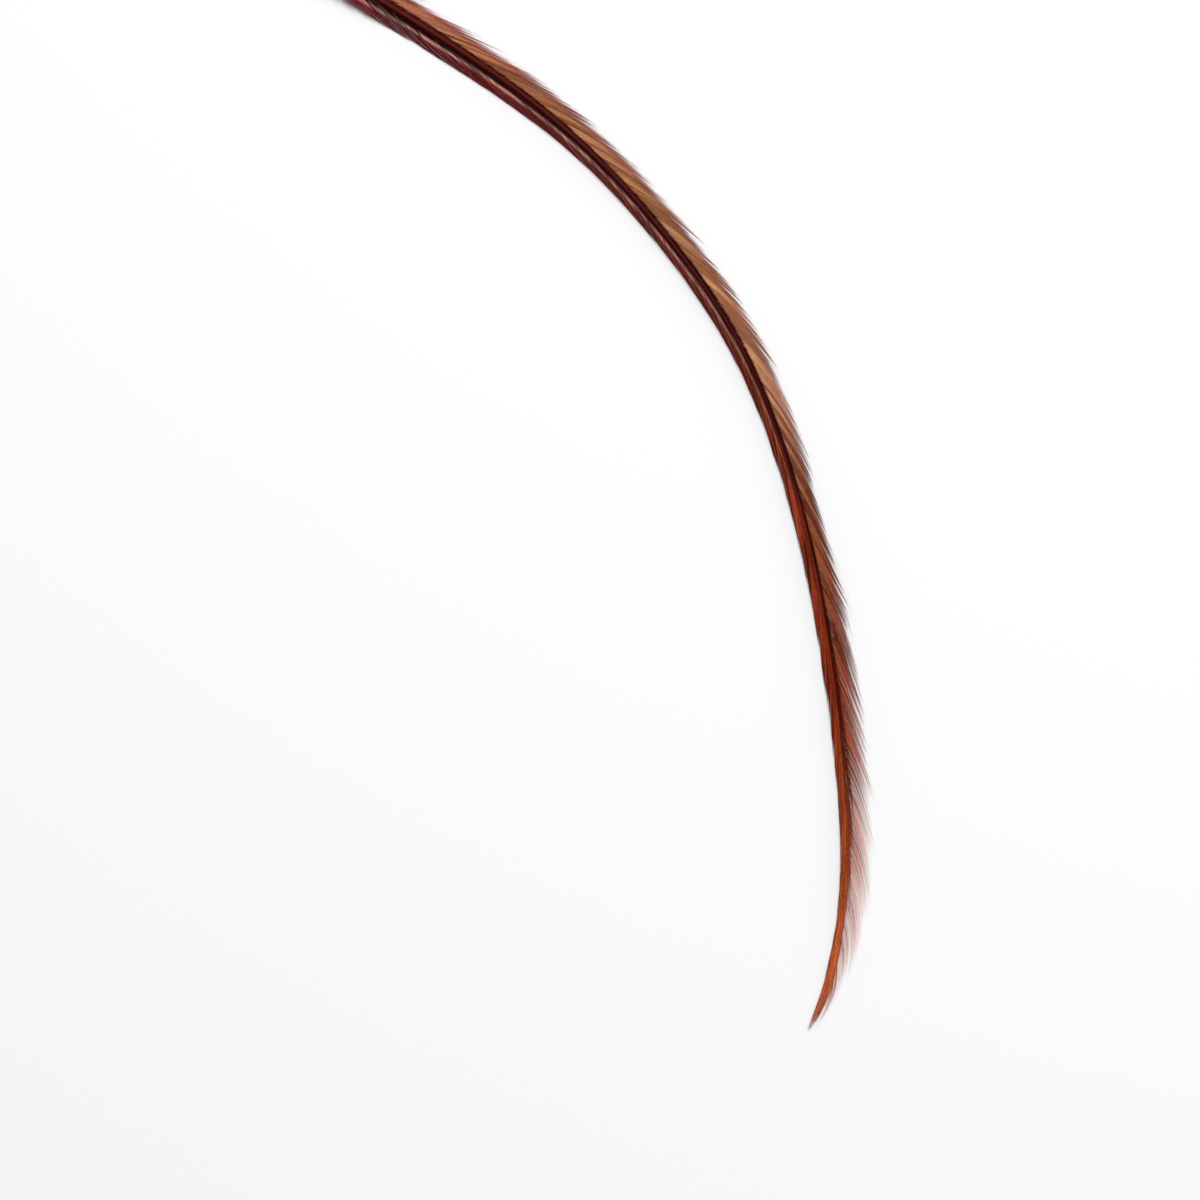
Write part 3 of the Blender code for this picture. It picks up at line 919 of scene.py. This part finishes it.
def roll_shaft():
    """Rolls a grid into the tapering shaft and returns the object."""
    bpy.ops.object.select_all(action="DESELECT")
    bpy.ops.mesh.primitive_grid_add(x_subdivisions=SHAFT_RINGS, y_subdivisions=SHAFT_SIDES, size=1.0)
    rolled = bpy.context.object
    rolled.name = "shaft"
    flat = np.array([vertex.co for vertex in rolled.data.vertices]) + 0.5
    distance = SHAFT_LENGTH * np.sqrt(flat[:, 0] ** 2 * CLOSE_RINGS + flat[:, 0] ** 4 * WIDE_RINGS)
    turn = 2 * math.pi * flat[:, 1]
    radius = read_stations(SHAFT_RADIUS, distance)
    crown = np.exp(-(((turn - math.pi) / CROWN_WIDTH) ** 2))
    grooved = np.clip((distance - GROOVE_FROM) / GROOVE_FADE, 0.0, 1.0)
    profile = radius * (1.0 - CROWN_GROOVE * crown * grooved)
    ring = np.rint(flat[:, 0] * SHAFT_RINGS).astype(int)
    for pit_ring, (depth, pit_radius) in enumerate(PIT):
        distance[ring == pit_ring] = depth
        profile[ring == pit_ring] = pit_radius
    height = np.maximum(radius, read_stations(SHAFT_HEIGHT, distance))
    spots = at(distance, -profile * np.sin(turn), height - profile * np.cos(turn))
    rolled.data.vertices.foreach_set("co", spots.astype(np.float32).ravel())
    for value_name, numbers in {"along_feather": distance / FEATHER_LENGTH, "around": flat[:, 1]}.items():
        attribute = rolled.data.attributes.new(value_name, "FLOAT", "POINT")
        attribute.data.foreach_set("value", numbers.astype(np.float32))
    bpy.ops.object.mode_set(mode="EDIT")
    bpy.ops.mesh.select_all(action="SELECT")
    bpy.ops.mesh.remove_doubles(threshold=WELD)
    bpy.ops.mesh.fill_holes(sides=SHAFT_SIDES + 1)
    bpy.ops.mesh.select_all(action="SELECT")
    bpy.ops.mesh.normals_make_consistent(inside=False)
    bpy.ops.object.mode_set(mode="OBJECT")
    bpy.ops.object.shade_smooth()
    return rolled


shaft = roll_shaft()
print("shaft has", len(shaft.data.polygons), "faces")

# %% Horn of the shaft
HIGHLIGHT_EDGE = (0.05, 0.14)
SHAFT_ROUGHNESS = 0.34
# The sides carry the shaft's colour with painted shade, and the crown colours are a lighter painted highlight
# along its top.
SIDE_COLOUR_AND_SHADE = ((0, (214, 196, 166)), (12, (190, 164, 136)), (24, (120, 82, 66)), (45, (58, 7, 8)),
              (110, (53, 5, 4)), (163, (48, 4, 2)), (216, (84, 16, 8)), (258, (128, 44, 20)))
CROWN_HIGHLIGHT_PAINT = ((0, (228, 212, 184)), (12, (206, 180, 152)), (24, (150, 112, 92)), (45, (78, 22, 18)),
               (110, (68, 14, 12)), (163, (54, 6, 4)), (216, (92, 20, 10)), (258, (136, 48, 22)))


def shaft_horn():
    """Pale horn at the quill, dark maroon further on, with a painted highlight on the crown over painted
    shade on the sides.
    """
    material, shader = new_material("shaft_horn")
    tree = material.node_tree
    side, crown = feather_ramp(tree, SIDE_COLOUR_AND_SHADE), feather_ramp(tree, CROWN_HIGHLIGHT_PAINT)
    # A painted highlight along the crown, fading into the painted shade of the sides.
    off_crown = maths(tree, "ABSOLUTE", maths(tree, "SUBTRACT", own_value(tree, "around"), 0.5))
    on_highlight = maths(tree, "SUBTRACT", 1.0, ease(tree, off_crown, *HIGHLIGHT_EDGE))
    tree.links.new(blend_colours(tree, on_highlight, side, crown), shader.inputs["Base Color"])
    shader.inputs["Roughness"].default_value = SHAFT_ROUGHNESS
    shader.inputs["Specular IOR Level"].default_value = HORN_GLOSS
    return material


shaft.data.materials.clear()
shaft.data.materials.append(shaft_horn())
print("shaft wears", shaft.data.materials[0].name)

# %% [markdown]
# ## Hand the feather over
# Every piece lies where the solid lies and is attached to the root body. The solid itself is hidden: the
# pieces stand for it. The sizes of the solid and of what is shown are written down, so that they can be
# compared.

# %% Finish
for piece in (shaft, outer_vane, inner_vane, outer_fringe, inner_fringe, down):
    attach(piece, "root")
    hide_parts("feather")

shown_low, shown_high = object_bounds()
shown_span = [round(1000 * (high - low), 2) for low, high in zip(shown_low, shown_high)]
print("shown feather spans", shown_span, "mm")
